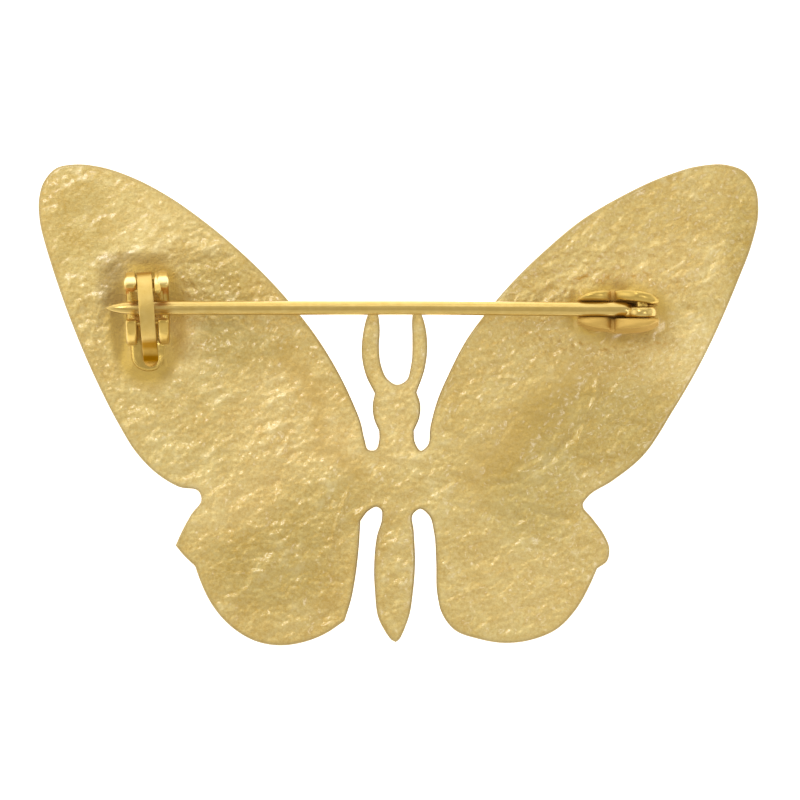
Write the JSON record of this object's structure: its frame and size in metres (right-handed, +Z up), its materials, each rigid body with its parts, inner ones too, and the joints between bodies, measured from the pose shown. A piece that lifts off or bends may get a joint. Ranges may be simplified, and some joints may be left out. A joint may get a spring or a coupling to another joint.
{
  "type": "butterfly brooch",
  "caption": "Cast butterfly brooch lying face down: a domed plate with a hinged pin stem and a ring catch with a turning lock on its back.",
  "frame": {"origin": "on the table under the middle of the outline's box, with the brooch lying face down", "axes": "+X along the wings towards the hinge, +Y from the tail to the antennae, +Z up out of the back"},
  "size_m": [0.051, 0.0341, 0.0079],
  "materials": {
    "satin_gold": "satin gold plating on a finely crumpled casting",
    "bright_gold": "smooth gold plating"
  },
  "bodies": {
    "root": {"butterfly": "satin_gold", "hinge_rivet": "bright_gold"},
    "stem": {"pin_stem": "bright_gold"},
    "lock": {"catch_lock": "bright_gold"}
  },
  "joints": [
    {"name": "stem_hinge", "type": "hinge", "parent": "root", "child": "stem", "pos_m": [0.0172, 0.00685, 0.00537], "axis": [0, 1, 0], "range_deg": [0, 95]},
    {"name": "lock_turn", "type": "hinge", "parent": "root", "child": "lock", "pos_m": [-0.01775, 0.00685, 0.00537], "axis": [-0.9969, -0.0785, 0], "range_deg": [0, 120]}
  ]
}
